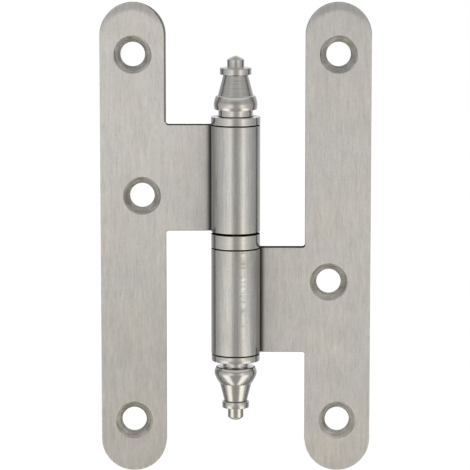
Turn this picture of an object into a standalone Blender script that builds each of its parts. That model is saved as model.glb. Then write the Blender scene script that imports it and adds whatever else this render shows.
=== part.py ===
"""A lift-off paumelle hinge, 140 by 80 mm, drawn open flat with its pin upright.

Each leaf is one stamped sheet: a blade with round ends, a tab at one half of its height, and the tab's
end rolled into a knuckle round the pin. The door leaf is the frame leaf turned over, so its knuckle
stands above the other. The pin is fixed in the lower knuckle, a wear ring sits between the knuckles,
and a turned finial is pressed into each outer end.

Units are metres. Z runs up the pin, the countersunk front faces look along -Y, and the origin lies on
the pin's axis at half height.
"""

import math
from typing import NamedTuple

import bmesh
import bpy
from mathutils import Matrix, Vector

MM = 0.001

# The sheet of each leaf
SHEET = 3.0 * MM
EDGE_RADIUS = 0.2 * MM  # of the leaves', the ring's and the finials' edges

# The blade
LEAF_HEIGHT = 140.0 * MM
BLADE_INNER_EDGE = 20.6 * MM  # from the pin's axis
BLADE_WIDTH = 19.4 * MM
FACE_SETBACK = 1.2 * MM  # pin axis back to the front faces

# The tab and its knuckle
KNUCKLE_HEIGHT = 31.5 * MM
KNUCKLE_SPACING = 5.0 * MM  # between the two knuckles, where the ring runs
TAB_CORNER_RADIUS = 0.8 * MM
PIN_DIAMETER = 8.34 * MM
RUNNING_CLEARANCE = 0.08 * MM  # all round the pin
JOGGLE_RADIUS = 11.5 * MM  # of the bend that leads from the flat tab into the roll
SEAM_GAP = 0.6 * MM  # between the roll's free end and the plane of the tab's front

# The screw holes, seen from the front
HOLE_DIAMETER = 7.25 * MM
COUNTERSINK_DIAMETER = 11.3 * MM
COUNTERSINK_ANGLE = math.radians(90.0)
END_HOLE_INSET = 15.3 * MM  # from the blade's end
MIDDLE_HOLE_OFFSET = 2.65 * MM  # from the blade's centre line towards the pin
MIDDLE_HOLE_INSET = 10.4 * MM  # from the tab's edge beside the ring

# The pin, the ring and what seats on the knuckles
SEAT_GAP = 0.3 * MM
RING_PLAY = 0.6 * MM  # between the ring and the upper knuckle
PIN_CHAMFER = 0.8 * MM
PIN_HEADROOM = 1.0 * MM  # between the pin's top and the upper finial's spigot
SPIGOT_LENGTH = 5.0 * MM
SPIGOT_CHAMFER = 0.5 * MM

# Steps of the round shapes
END_STEPS = 22
CORNER_STEPS = 4
ROLL_STEPS = 60
JOGGLE_STEPS = 8
HOLE_STEPS = 40
TURNED_STEPS = 48
SHOULDER_STEPS = 3
BULGE_STEPS = 5
DOME_STEPS = 4
EDGE_SEGMENTS = 2
SHARP_ANGLE = math.radians(35.0)  # edges sharper than this are rounded, and shaded sharp
ARC_SHARE = 0.45  # the most of a side that one corner's arc takes
MERGE_DISTANCE = 0.001 * MM
CUT_MARGIN = 1.0 * MM  # how far a cutter stands proud of what it cuts

# Finishes: name, colour and roughness
BRUSHED_STEEL = ("brushed stainless", (0.56, 0.55, 0.53), 0.38)
TURNED_STEEL = ("turned stainless", (0.62, 0.61, 0.58), 0.25)
GROUND_STEEL = ("ground steel", (0.55, 0.55, 0.55), 0.2)

# Worked out from the sizes above
KNUCKLE_BORE_RADIUS = PIN_DIAMETER / 2 + RUNNING_CLEARANCE
KNUCKLE_RADIUS = KNUCKLE_BORE_RADIUS + SHEET
ROLL_RADIUS = KNUCKLE_BORE_RADIUS + SHEET / 2  # of the sheet's middle
SHEET_MIDDLE = FACE_SETBACK + SHEET / 2
KNUCKLE_INNER_END = KNUCKLE_SPACING / 2
KNUCKLE_OUTER_END = KNUCKLE_INNER_END + KNUCKLE_HEIGHT
BLADE_CENTRE = BLADE_INNER_EDGE + BLADE_WIDTH / 2
JOGGLE_CENTRE = Vector(
    (
        math.sqrt((ROLL_RADIUS + JOGGLE_RADIUS) ** 2 - (SHEET_MIDDLE + JOGGLE_RADIUS) ** 2),
        SHEET_MIDDLE + JOGGLE_RADIUS,
        0,
    )
)
JOGGLE_ANGLE = math.atan2(JOGGLE_CENTRE.x, JOGGLE_CENTRE.y)
FREE_END_ANGLE = math.asin((FACE_SETBACK - SEAM_GAP) / KNUCKLE_RADIUS)
ROLL_ANGLE = math.radians(270) + JOGGLE_ANGLE + FREE_END_ANGLE


class FinialSizes(NamedTuple):
    """A turned finial's sections from the knuckle outwards, each with its radii and its own length."""

    disc_radius: float
    disc_length: float
    neck_radius: float
    neck_length: float
    shoulder_radius: float
    shoulder_bow: float
    shoulder_length: float  # up to the bulge's widest
    bulge_radius: float
    bulge_bow: float
    bulge_length: float  # from its widest to its end
    bulge_end_radius: float
    cone_start_radius: float
    cone_end_radius: float
    cone_length: float
    collar_radius: float
    collar_length: float
    knob_radius: float
    knob_length: float
    dome_bow: float
    dome_length: float


UPPER_FINIAL = FinialSizes(
    disc_radius=7.3 * MM,
    disc_length=2.3 * MM,
    neck_radius=5.1 * MM,
    neck_length=2.1 * MM,
    shoulder_radius=6.2 * MM,
    shoulder_bow=0.06 * MM,
    shoulder_length=1.5 * MM,
    bulge_radius=6.41 * MM,
    bulge_bow=0.12 * MM,
    bulge_length=2.5 * MM,
    bulge_end_radius=5.8 * MM,
    cone_start_radius=5.25 * MM,
    cone_end_radius=3.62 * MM,
    cone_length=6.25 * MM,
    collar_radius=4.63 * MM,
    collar_length=2.0 * MM,
    knob_radius=2.5 * MM,
    knob_length=2.4 * MM,
    dome_bow=0.12 * MM,
    dome_length=1.15 * MM,
)
LOWER_FINIAL = FinialSizes(
    disc_radius=7.15 * MM,
    disc_length=1.9 * MM,
    neck_radius=3.8 * MM,
    neck_length=1.8 * MM,
    shoulder_radius=5.6 * MM,
    shoulder_bow=0.35 * MM,
    shoulder_length=2.5 * MM,
    bulge_radius=6.17 * MM,
    bulge_bow=0.12 * MM,
    bulge_length=2.6 * MM,
    bulge_end_radius=4.75 * MM,
    cone_start_radius=4.7 * MM,
    cone_end_radius=3.33 * MM,
    cone_length=5.4 * MM,
    collar_radius=3.98 * MM,
    collar_length=1.95 * MM,
    knob_radius=2.32 * MM,
    knob_length=2.85 * MM,
    dome_bow=0.3 * MM,
    dome_length=1.05 * MM,
)


def clear_scene():
    for obj in list(bpy.data.objects):
        bpy.data.objects.remove(obj)


def steel(name, colour, roughness):
    material = bpy.data.materials.new(name)
    material.use_nodes = True
    shader = material.node_tree.nodes["Principled BSDF"]
    shader.inputs["Base Color"].default_value = (*colour, 1)
    shader.inputs["Metallic"].default_value = 1.0
    shader.inputs["Roughness"].default_value = roughness
    return material


def empty(name):
    obj = bpy.data.objects.new(name, None)
    bpy.context.scene.collection.objects.link(obj)
    return obj


def mesh_from(bm, name):
    mesh = bpy.data.meshes.new(name)
    bm.to_mesh(mesh)
    bm.free()
    mesh.shade_smooth()
    mesh.set_sharp_from_angle(angle=SHARP_ANGLE)
    return mesh


def put(name, mesh, material, parent):
    mesh.materials.clear()
    mesh.materials.append(material)
    obj = bpy.data.objects.new(name, mesh)
    obj.parent = parent
    bpy.context.scene.collection.objects.link(obj)
    return obj


def arc(centre, radius, start, end, steps):
    """Points of a circle from one angle to another, both ends included."""
    turns = [start + (end - start) * i / steps for i in range(steps + 1)]
    return [(centre[0] + radius * math.cos(t), centre[1] + radius * math.sin(t)) for t in turns]


def bowed(start, end, bow, steps):
    """An arc from start to end that stands out by bow at its middle, to the right of the way it runs."""
    chord = Vector(end) - Vector(start)
    half = chord.length / 2
    radius = (half**2 + bow**2) / (2 * bow)
    outward = Vector((chord.y, -chord.x)).normalized()
    centre = (Vector(start) + Vector(end)) / 2 - outward * (radius - bow)
    first = math.atan2(start[1] - centre.y, start[0] - centre.x)
    sweep = 2 * math.asin(half / radius)
    return arc(centre, radius, first, first + sweep, steps)


def rounded(points, radius, steps=EDGE_SEGMENTS):
    """The same outline with each sharp left turn made an arc, as far as its two sides leave room."""
    result = [points[0]]
    for before, corner, after in zip(points, points[1:], points[2:]):
        here = Vector(corner)
        back = Vector(before) - here
        ahead = Vector(after) - here
        turn = math.pi - back.angle(ahead)
        turns_left = ahead.x * back.y - ahead.y * back.x > 0
        if turn < SHARP_ANGLE or not turns_left:
            result.append(corner)
            continue
        cut = min(radius * math.tan(turn / 2), ARC_SHARE * min(back.length, ahead.length))
        true_radius = cut / math.tan(turn / 2)
        middle = here + (back.normalized() + ahead.normalized()).normalized() * (
            true_radius / math.cos(turn / 2)
        )
        first = here + back.normalized() * cut - middle
        last = here + ahead.normalized() * cut - middle
        sweep = math.atan2(first.x * last.y - first.y * last.x, first.dot(last))
        start = math.atan2(first.y, first.x)
        result += arc(middle, true_radius, start, start + sweep, steps)
    return [*result, points[-1]]


def turned(profile, steps, name):
    """A solid of revolution round Z. The profile is (radius, height) points, bottom to top."""
    bm = bmesh.new()
    verts = [bm.verts.new((radius, 0, height)) for radius, height in profile]
    edges = [bm.edges.new(pair) for pair in zip(verts, verts[1:])]
    if profile[0][0] > 0:
        edges.append(bm.edges.new((verts[-1], verts[0])))
    bmesh.ops.spin(
        bm,
        geom=[*verts, *edges],
        cent=(0, 0, 0),
        axis=(0, 0, 1),
        angle=math.tau,
        steps=steps,
        use_merge=True,
    )
    bmesh.ops.remove_doubles(bm, verts=bm.verts, dist=MERGE_DISTANCE)
    bmesh.ops.recalc_face_normals(bm, faces=bm.faces)
    return mesh_from(bm, name)


def leaf_outline():
    """The blade and the flat of the tab from the front, anticlockwise, as (x, z)."""
    inner = BLADE_INNER_EDGE
    end_radius = BLADE_WIDTH / 2
    end_centre = LEAF_HEIGHT / 2 - end_radius
    corner = TAB_CORNER_RADIUS
    tab_low, tab_high = -KNUCKLE_OUTER_END, -KNUCKLE_INNER_END
    quarter = math.pi / 2
    return [
        (JOGGLE_CENTRE.x, tab_high),
        (JOGGLE_CENTRE.x, tab_low),
        *arc((inner - corner, tab_low - corner), corner, quarter, 0, CORNER_STEPS),
        *arc((BLADE_CENTRE, -end_centre), end_radius, -2 * quarter, 0, END_STEPS),
        *arc((BLADE_CENTRE, end_centre), end_radius, 0, 2 * quarter, END_STEPS),
        *arc((inner - corner, tab_high + corner), corner, 0, -quarter, CORNER_STEPS),
    ]


def roll(bm, end_face, centre, angle, steps):
    """Carries the sheet's end round an upright axis, and gives the new end face."""
    swept = bmesh.ops.spin(
        bm,
        geom=[end_face],
        cent=centre,
        axis=(0, 0, 1),
        angle=angle,
        steps=steps,
        use_merge=False,
    )
    bmesh.ops.delete(bm, geom=[end_face], context="FACES_ONLY")
    return next(item for item in swept["geom_last"] if isinstance(item, bmesh.types.BMFace))


def leaf_mesh():
    """The frame leaf: the flat blank, then its tab's end carried through the joggle and round the pin."""
    bm = bmesh.new()
    front = bm.faces.new([bm.verts.new((x, FACE_SETBACK, z)) for x, z in leaf_outline()])
    grown = bmesh.ops.extrude_face_region(bm, geom=[front], use_keep_orig=True)
    back = [item for item in grown["geom"] if isinstance(item, bmesh.types.BMVert)]
    bmesh.ops.translate(bm, verts=back, vec=(0, SHEET, 0))
    bmesh.ops.recalc_face_normals(bm, faces=bm.faces)
    tab_end = min(bm.faces, key=lambda face: face.calc_center_median().x)
    tab_end = roll(bm, tab_end, JOGGLE_CENTRE, -JOGGLE_ANGLE, JOGGLE_STEPS)
    roll(bm, tab_end, (0, 0, 0), ROLL_ANGLE, ROLL_STEPS)
    bmesh.ops.remove_doubles(bm, verts=bm.verts, dist=MERGE_DISTANCE)
    bmesh.ops.recalc_face_normals(bm, faces=bm.faces)
    sharp = [edge for edge in bm.edges if edge.calc_face_angle(0) > SHARP_ANGLE]
    bmesh.ops.bevel(
        bm,
        geom=sharp,
        offset=EDGE_RADIUS,
        offset_type="OFFSET",
        affect="EDGES",
        segments=EDGE_SEGMENTS,
        profile=0.5,
        material=-1,
    )
    return mesh_from(bm, "leaf")


def screw_hole_cutter_mesh():
    """Three countersunk holes as solid plugs, for the frame leaf."""
    hole, sink = HOLE_DIAMETER / 2, COUNTERSINK_DIAMETER / 2
    slope = math.tan(COUNTERSINK_ANGLE / 2)
    sink_depth = (sink - hole) / slope
    profile = [
        (0, -CUT_MARGIN),
        (sink + CUT_MARGIN * slope, -CUT_MARGIN),
        (hole, sink_depth),
        (hole, SHEET + CUT_MARGIN),
        (0, SHEET + CUT_MARGIN),
    ]
    end_hole = LEAF_HEIGHT / 2 - END_HOLE_INSET
    places = [
        (BLADE_CENTRE, end_hole),
        (BLADE_CENTRE - MIDDLE_HOLE_OFFSET, -KNUCKLE_INNER_END - MIDDLE_HOLE_INSET),
        (BLADE_CENTRE, -end_hole),
    ]
    plug = turned(profile, HOLE_STEPS, "screw_hole_plug")
    into_sheet = Matrix.Rotation(math.radians(-90), 4, "X")
    bm = bmesh.new()
    for x, z in places:
        placed = plug.copy()
        placed.transform(Matrix.Translation((x, FACE_SETBACK, z)) @ into_sheet)
        bm.from_mesh(placed)
        bpy.data.meshes.remove(placed)
    bpy.data.meshes.remove(plug)
    return mesh_from(bm, "screw_holes")


def leaf(name, mesh, cutter_mesh, material, parent):
    obj = put(name, mesh.copy(), material, parent)
    cutter = bpy.data.objects.new(name + "_screw_holes", cutter_mesh)
    cutter.parent = obj
    cutter.hide_render = True
    cutter.display_type = "WIRE"
    bpy.context.scene.collection.objects.link(cutter)
    drilled = obj.modifiers.new("screw holes", "BOOLEAN")
    drilled.operation = "DIFFERENCE"
    drilled.object = cutter
    return obj


def hinge_pin(material, parent):
    """Fixed in the lower knuckle, between the two finials' spigots."""
    radius = PIN_DIAMETER / 2
    bottom = -KNUCKLE_OUTER_END + SPIGOT_LENGTH + SEAT_GAP
    top = KNUCKLE_OUTER_END - SPIGOT_LENGTH - PIN_HEADROOM
    profile = [
        (0, bottom),
        (radius - PIN_CHAMFER, bottom),
        (radius, bottom + PIN_CHAMFER),
        (radius, top - PIN_CHAMFER),
        (radius - PIN_CHAMFER, top),
        (0, top),
    ]
    return put("hinge_pin", turned(profile, TURNED_STEPS, "hinge_pin"), material, parent)


def wear_ring(material, parent):
    """Sits on the lower knuckle, and keeps the upper one off it."""
    bottom = -KNUCKLE_INNER_END + SEAT_GAP
    top = KNUCKLE_INNER_END - RING_PLAY
    bore = KNUCKLE_BORE_RADIUS
    section = [(bore, bottom), (KNUCKLE_RADIUS, bottom), (KNUCKLE_RADIUS, top), (bore, top)]
    mesh = turned(rounded(section, EDGE_RADIUS), TURNED_STEPS, "wear_ring")
    return put("wear_ring", mesh, material, parent)


def finial_profile(sizes):
    """(radius, height) points of a finial whose disc starts at height 0, its spigot included."""
    spigot = KNUCKLE_BORE_RADIUS - RUNNING_CLEARANCE
    spigot_end = -SEAT_GAP - SPIGOT_LENGTH
    disc_end = sizes.disc_length
    neck_end = disc_end + sizes.neck_length
    shoulder_end = neck_end + sizes.shoulder_length
    bulge_end = shoulder_end + sizes.bulge_length
    cone_end = bulge_end + sizes.cone_length
    collar_end = cone_end + sizes.collar_length
    knob_end = collar_end + sizes.knob_length
    tip = knob_end + sizes.dome_length
    shoulder = (sizes.shoulder_radius, neck_end)
    widest = (sizes.bulge_radius, shoulder_end)
    outside = [
        (spigot, 0),
        (sizes.disc_radius, 0),
        (sizes.disc_radius, disc_end),
        (sizes.neck_radius, disc_end),
        (sizes.neck_radius, neck_end),
        *bowed(shoulder, widest, sizes.shoulder_bow, SHOULDER_STEPS),
        *bowed(widest, (sizes.bulge_end_radius, bulge_end), sizes.bulge_bow, BULGE_STEPS)[1:],
        (sizes.cone_start_radius, bulge_end),
        (sizes.cone_end_radius, cone_end),
        (sizes.collar_radius, cone_end),
        (sizes.collar_radius, collar_end),
        (sizes.knob_radius, collar_end),
        *bowed((sizes.knob_radius, knob_end), (0, tip), sizes.dome_bow, DOME_STEPS),
    ]
    return [
        (0, spigot_end),
        (spigot - SPIGOT_CHAMFER, spigot_end),
        (spigot, spigot_end + SPIGOT_CHAMFER),
        *rounded(outside, EDGE_RADIUS, steps=1),
    ]


def finial(name, sizes, material, parent):
    mesh = turned(finial_profile(sizes), TURNED_STEPS, name)
    mesh.transform(Matrix.Translation((0, 0, KNUCKLE_OUTER_END + SEAT_GAP)))
    return put(name, mesh, material, parent)


def main():
    clear_scene()
    brushed = steel(*BRUSHED_STEEL)
    turned_steel = steel(*TURNED_STEEL)
    ground = steel(*GROUND_STEEL)
    turned_over = Matrix.Rotation(math.pi, 4, "Y")

    frame_side = empty("frame_side")
    ring_side = empty("ring_side")
    door_side = empty("door_side")
    door_side.parent = ring_side

    sheet = leaf_mesh()
    holes = screw_hole_cutter_mesh()
    leaf("frame_leaf", sheet, holes, brushed, frame_side)
    door = leaf("door_leaf", sheet, holes, brushed, door_side)
    door.matrix_basis = turned_over

    hinge_pin(ground, frame_side)
    wear_ring(turned_steel, ring_side)
    finial("upper_finial", UPPER_FINIAL, turned_steel, door_side)
    lower = finial("lower_finial", LOWER_FINIAL, turned_steel, frame_side)
    lower.matrix_basis = turned_over


main()
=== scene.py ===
"""Dresses a packed lift-off paumelle hinge and sets it in a studio.

The leaves, the pin, the wear ring and the finials are modelled again as fine meshes of the same size as
the solids they stand for. Units are metres: Z runs up the pin, and the countersunk faces look along -Y.
"""

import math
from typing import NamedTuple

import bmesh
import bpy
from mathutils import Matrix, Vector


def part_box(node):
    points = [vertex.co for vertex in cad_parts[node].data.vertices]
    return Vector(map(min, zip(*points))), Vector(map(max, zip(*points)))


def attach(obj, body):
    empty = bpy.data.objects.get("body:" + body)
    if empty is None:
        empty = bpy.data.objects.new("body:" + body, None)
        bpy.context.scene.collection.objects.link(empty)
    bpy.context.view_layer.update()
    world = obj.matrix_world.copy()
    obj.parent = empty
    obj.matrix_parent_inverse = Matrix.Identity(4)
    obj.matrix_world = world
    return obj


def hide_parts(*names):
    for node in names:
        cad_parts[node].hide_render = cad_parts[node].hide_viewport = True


bl_info = {
    "name": "Paumelle Hinge",
    "version": (1, 0, 0),
    "blender": (4, 5, 0),
    "location": "3D View > Sidebar > Hinge",
    "description": "Fine meshes, steel finishes and a studio for a lift-off paumelle hinge",
    "category": "Object",
}

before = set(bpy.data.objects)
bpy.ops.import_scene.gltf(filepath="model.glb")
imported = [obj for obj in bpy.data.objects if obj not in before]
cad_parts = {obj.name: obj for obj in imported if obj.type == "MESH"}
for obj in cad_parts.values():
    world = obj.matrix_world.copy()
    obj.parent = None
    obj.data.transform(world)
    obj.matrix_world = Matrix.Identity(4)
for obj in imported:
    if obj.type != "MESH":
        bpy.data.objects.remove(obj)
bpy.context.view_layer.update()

LEAF_LOW, LEAF_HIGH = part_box("frame_leaf")
RING_LOW, RING_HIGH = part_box("wear_ring")
PIN_LOW, PIN_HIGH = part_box("hinge_pin")

MM = 0.001
TURNED_OVER = Matrix.Rotation(math.pi, 4, "Y")

# Steps of the round shapes
CORNER_SEGMENTS = 40
FILLET_SEGMENTS = 6
ROLL_STEPS = 180
JOGGLE_STEPS = 20
HOLE_STEPS = 96
TURNED_STEPS = 160
EDGE_SEGMENTS = 4
BOW_STEPS = 12

SHARP_ANGLE = math.radians(35.0)
ARC_SHARE = 0.45  # the most of a side that one corner's arc takes
MERGE_DISTANCE = 0.001 * MM
CUT_MARGIN = 1.0 * MM
FLAT_FACE_WEIGHT = 80  # of the large faces, where faces share a shading normal

# The blade's round ends: mm of each ring inside the front's edge, and the shares of the end's radius
# past which the front starts to fall back and falls back in full
BLEND_RINGS = (0.06, 0.24, 0.3, 0.4, 0.5, 0.5, 0.5, 0.5)
FALL_ALONG_END = (0.125, 0.75)

# What tells the faces of a piece apart: shares of a face's normal, and places
END_FACE_UP = 0.6  # along Z, and more
TAB_EDGE_UP = 0.2  # along Z, and more
SINK_WALL_OUT = 0.9  # along Y, and less
CUT_WALL_OUT = 0.5  # along Y, and less
HOLE_ZONE = 0.55  # round a hole's middle, in diameters of the countersink
SKIN_EDGES = 1.5  # how deep the outer skin of a round piece is, in radii of its edge
# The painted shadow line along the edge that looks towards +X
EDGE_SHADE_SIDEWAYS = (0.32, 0.72)  # how far the edge looks along +X where the burr starts and is whole
DISC_UNDERSIDE = -0.6  # along Z, and less

# A leaf's materials in their order on its mesh
# The inner faces' near-black is painted shade inside the joints and along the tab's edges, with some
# grease on the raw-cut ends
BLADE, BARREL, CUT_EDGE, SINK, INNER_SHADE = range(5)
LEAF_MATERIALS = ("Satin blade", "Rolled barrel", "Sheared edge", "Countersink", "Shaded inner face")


def number(name, description, default, **settings):
    return bpy.props.FloatProperty(name=name, description=description, default=default, **settings)


def length(name, description, default):
    return number(name, description, default, min=0.0, unit="LENGTH", precision=5)


def share(name, description, default):
    return number(name, description, default, min=0.0, max=1.0, subtype="FACTOR")


def angle(name, description, degrees):
    return number(name, description, math.radians(degrees), subtype="ANGLE")


def colour(name, description, default):
    return bpy.props.FloatVectorProperty(
        name=name, description=description, default=default, min=0.0, max=1.0, subtype="COLOR"
    )


class LeafSizes(bpy.types.PropertyGroup):
    """The stamped and rolled sheet of each leaf."""

    height: length("Height", "Full height of the blade", LEAF_HIGH.z - LEAF_LOW.z)
    reach: length("Reach", "Pin axis to the blade's outer edge", LEAF_HIGH.x)
    knuckle_radius: length("Knuckle radius", "Outside of the rolled knuckle", RING_HIGH.x)
    blade_width: length("Blade width", "Width of the round-ended blade", 19.4 * MM)
    sheet: length("Sheet", "Thickness of the sheet", 3.0 * MM)
    setback: length("Setback", "Pin axis back to the front faces", 1.2 * MM)
    knuckle_height: length("Knuckle height", "Length of the knuckle and of its tab", 31.5 * MM)
    knuckle_spacing: length("Knuckle spacing", "Room between the knuckles for the ring", 5.0 * MM)
    fillet: length("Fillet", "Radius of the tab's inner corners", 0.8 * MM)
    joggle_radius: length("Joggle radius", "Bend that leads from the tab into the roll", 11.5 * MM)
    seam_gap: length("Seam gap", "From the roll's free end to the plane of the tab's front", 0.6 * MM)
    edge: length("Edge", "Radius of the sheet's edges", 0.2 * MM)
    # Widths of the painted shadow line along each leaf's +X edge, in the sheared edge's colour
    frame_edge_shade: length("Frame leaf's burr", "Dull edge of the frame leaf", 0.1 * MM)
    door_edge_shade: length("Door leaf's burr", "Dull edge of the door leaf", 0.4 * MM)
    fall_width: length("Fall width", "How far in the blade's round ends fall away", 2.4 * MM)
    fall_depth: length("Fall depth", "How far the front falls back at the upper end", 0.35 * MM)
    lower_fall_depth: length("Lower fall depth", "The same at the lower end", 0.1 * MM)
    fall_power: number("Fall curve", "1 is a flat chamfer, 2 a soft curve", 1.25)


class HoleSizes(bpy.types.PropertyGroup):
    """The three countersunk screw holes of each leaf."""

    diameter: length("Diameter", "Of the hole", 7.25 * MM)
    sink_diameter: length("Countersink", "Width of the countersink at the face", 11.3 * MM)
    sink_angle: angle("Angle", "Of the countersink", 90.0)
    end_inset: length("End inset", "Blade's end to the end holes", 15.3 * MM)
    middle_offset: length("Middle offset", "Middle hole's shift towards the pin", 2.65 * MM)
    middle_inset: length("Middle inset", "Tab's inner edge to the middle hole", 10.4 * MM)
    rim_depth: length("Rim depth", "Depth of the softened rim", 0.07 * MM)
    rim_angle: angle("Rim angle", "Slope of the softened rim", 20.0)


class CoreSizes(bpy.types.PropertyGroup):
    """The pin and the wear ring."""

    pin_chamfer: length("Pin chamfer", "At both ends of the pin", 0.8 * MM)
    bore_clearance: length("Clearance", "Between the pin and what turns on it", 0.08 * MM)
    ring_edge: length("Ring edge", "Radius of the ring's outer edges", 0.2 * MM)


FINIAL_SIZES = (
    # field, what it is, then the upper and the lower finial's size in mm
    ("disc_radius", "Disc that seats on the knuckle", 7.3, 7.15),
    ("disc_length", "Disc's height", 2.3, 1.9),
    ("neck_radius", "Neck above the disc", 5.1, 3.8),
    ("neck_length", "Neck's height", 2.1, 1.8),
    ("shoulder_radius", "Where the bulge starts", 6.2, 5.6),
    ("shoulder_bow", "Bow from the shoulder to the widest", 0.06, 0.35),
    ("shoulder_length", "Shoulder to the widest", 1.5, 2.5),
    ("bulge_radius", "Bulge's widest", 6.41, 6.17),
    ("bulge_bow", "Bow from the widest to the cone", 0.12, 0.12),
    ("bulge_length", "Widest to the cone", 2.5, 2.6),
    ("bulge_end_radius", "Where the bulge ends", 5.8, 4.75),
    ("cone_start_radius", "Cone's wide end", 5.25, 4.7),
    ("cone_end_radius", "Cone's narrow end", 3.62, 3.33),
    ("cone_length", "Cone's height", 6.25, 5.4),
    ("collar_radius", "Collar", 4.63, 3.98),
    ("collar_length", "Collar's height", 2.0, 1.95),
    ("knob_radius", "Knob", 2.5, 2.32),
    ("knob_length", "Knob's height", 2.4, 2.85),
    ("dome_bow", "Bow of the knob's top", 0.12, 0.3),
    ("dome_length", "Height of the knob's top", 1.15, 1.05),
    ("edge", "Radius of the outer edges", 0.2, 0.2),
    ("seat_gap", "Between the disc and the knuckle", 0.3, 0.3),
    ("spigot_length", "Spigot inside the knuckle", 5.0, 5.0),
    ("spigot_chamfer", "At the spigot's end", 0.5, 0.5),
)


def finial_group(name, doc, column):
    fields = {row[0]: length(row[1], row[1], row[column] * MM) for row in FINIAL_SIZES}
    return type(name, (bpy.types.PropertyGroup,), {"__doc__": doc, "__annotations__": fields})


UpperFinial = finial_group("UpperFinial", "The turned finial above the upper knuckle.", 2)
LowerFinial = finial_group("LowerFinial", "The turned finial below the lower knuckle.", 3)


class Finishes(bpy.types.PropertyGroup):
    """Colours and gloss of the steel surfaces."""

    blade_colour: colour("Blade", "Satin sheet of the blades", (0.69, 0.67, 0.648))
    blade_roughness: share("Blade roughness", "Of the satin sheet", 0.36)
    barrel_colour: colour("Barrel", "Rolled knuckles", (0.54, 0.53, 0.508))
    barrel_roughness: share("Barrel roughness", "Of the knuckles", 0.2)
    turned_colour: colour("Turned", "Finials and ring", (0.56, 0.548, 0.52))
    turned_roughness: share("Turned roughness", "Of the finials and the ring", 0.15)
    edge_colour: colour("Sheared edge", "Cut faces of the sheet", (0.26, 0.253, 0.24))
    edge_roughness: share("Edge roughness", "Of the cut faces", 0.5)
    sink_colour: colour("Countersink", "Bored and countersunk holes", (0.5, 0.485, 0.45))
    sink_roughness: share("Countersink roughness", "Of the countersinks", 0.32)
    # Near-black inner faces: painted shade inside the joints and along the tab's edges, with grease on the
    # raw-cut ends
    inner_colour: colour("Shaded inner face", "Dull faces inside the joints", (0.05, 0.048, 0.045))
    inner_roughness: share("Inner roughness", "Of the faces inside the joints", 0.6)


class StageSettings(bpy.types.PropertyGroup):
    """The camera, the floor and the light."""

    distance: length("Distance", "Camera to its target", 797.3 * MM)
    target_height: length("Target height", "Of the point that the camera looks at", 1.37 * MM)
    pitch: angle("Pitch", "How far the camera looks down", 8.01)
    lens: number("Lens", "Focal length in millimetres", 206.4)
    shift: number("Shift", "Sideways shift of the frame", -0.0014)
    sensor: number("Sensor", "Width in millimetres", 36.0)
    tent_radius: length("Tent radius", "Of the light tent round the hinge", 700.0 * MM)
    tent_light: number("Tent light", "Strength of the tent", 1.2)
    floor_gap: length("Floor gap", "From the light tent down to the floor", 20.0 * MM)
    floor_reach: length("Floor reach", "From the floor's middle to its edges", 8000.0 * MM)
    floor_colour: colour("Floor", "Pale floor", (0.9, 0.9, 0.9))
    floor_roughness: share("Floor roughness", "Of the pale floor", 0.9)
    floor_white: share("Floor white", "How much of the floor is plain white to the camera", 0.85)
    room_light: share("Room light", "Strength of the white room on dull surfaces", 0.9)
    lamp_light: number("Lamp", "Strength of the soft lamp", 1.6)
    lamp_spread: angle("Lamp's spread", "How wide the lamp looks from the hinge", 35.0)
    lamp_tip: angle("Lamp's tip", "Its turn about X", 32.0)
    lamp_lean: angle("Lamp's lean", "Its turn about Y", -22.0)


def risen(value, first, last):
    """How far a value has come from the first to the last, as a share from 0 to 1."""
    return min(1.0, max(0.0, (value - first) / (last - first)))


def rounded(points, radius):
    """The same outline with each sharp corner made an arc, as far as its two sides leave room."""
    result = [points[0]]
    for before, corner, after in zip(points, points[1:], points[2:]):
        here = Vector(corner)
        back = Vector(before) - here
        ahead = Vector(after) - here
        turn = math.pi - back.angle(ahead)
        if turn < SHARP_ANGLE:
            result.append(corner)
            continue
        cut = min(radius * math.tan(turn / 2), ARC_SHARE * min(back.length, ahead.length))
        true_radius = cut / math.tan(turn / 2)
        inward = (back.normalized() + ahead.normalized()).normalized()
        middle = here + inward * (true_radius / math.cos(turn / 2))
        first = here + back.normalized() * cut - middle
        last = here + ahead.normalized() * cut - middle
        sweep = math.atan2(first.x * last.y - first.y * last.x, first.dot(last))
        start = math.atan2(first.y, first.x)
        result += arc(middle, true_radius, start, start + sweep, EDGE_SEGMENTS)
    return [*result, points[-1]]


def arc(centre, radius, start, end, steps):
    """Points of a circle from one angle to another, both ends included."""
    turns = [start + (end - start) * i / steps for i in range(steps + 1)]
    return [(centre[0] + radius * math.cos(t), centre[1] + radius * math.sin(t)) for t in turns]


def bowed(start, end, bow):
    """An arc from start to end that stands out by bow at its middle, to the right of the way it runs."""
    chord = Vector(end) - Vector(start)
    half = chord.length / 2
    radius = (half**2 + bow**2) / (2 * bow)
    outward = Vector((chord.y, -chord.x)).normalized()
    centre = (Vector(start) + Vector(end)) / 2 - outward * (radius - bow)
    first = math.atan2(start[1] - centre.y, start[0] - centre.x)
    sweep = 2 * math.asin(half / radius)
    return arc(centre, radius, first, first + sweep, BOW_STEPS)


def turned(profile, steps=TURNED_STEPS):
    """A closed solid of revolution round Z. The profile is (radius, height) points, bottom to top."""
    bm = bmesh.new()
    verts = [bm.verts.new((radius, 0, height)) for radius, height in profile]
    edges = [bm.edges.new(pair) for pair in zip(verts, verts[1:])]
    if profile[0][0] > 0:
        edges.append(bm.edges.new((verts[-1], verts[0])))
    bmesh.ops.spin(
        bm,
        geom=[*verts, *edges],
        cent=(0, 0, 0),
        axis=(0, 0, 1),
        angle=math.tau,
        steps=steps,
        use_merge=True,
    )
    bmesh.ops.remove_doubles(bm, verts=bm.verts, dist=MERGE_DISTANCE)
    bmesh.ops.recalc_face_normals(bm, faces=bm.faces)
    return bm


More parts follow.
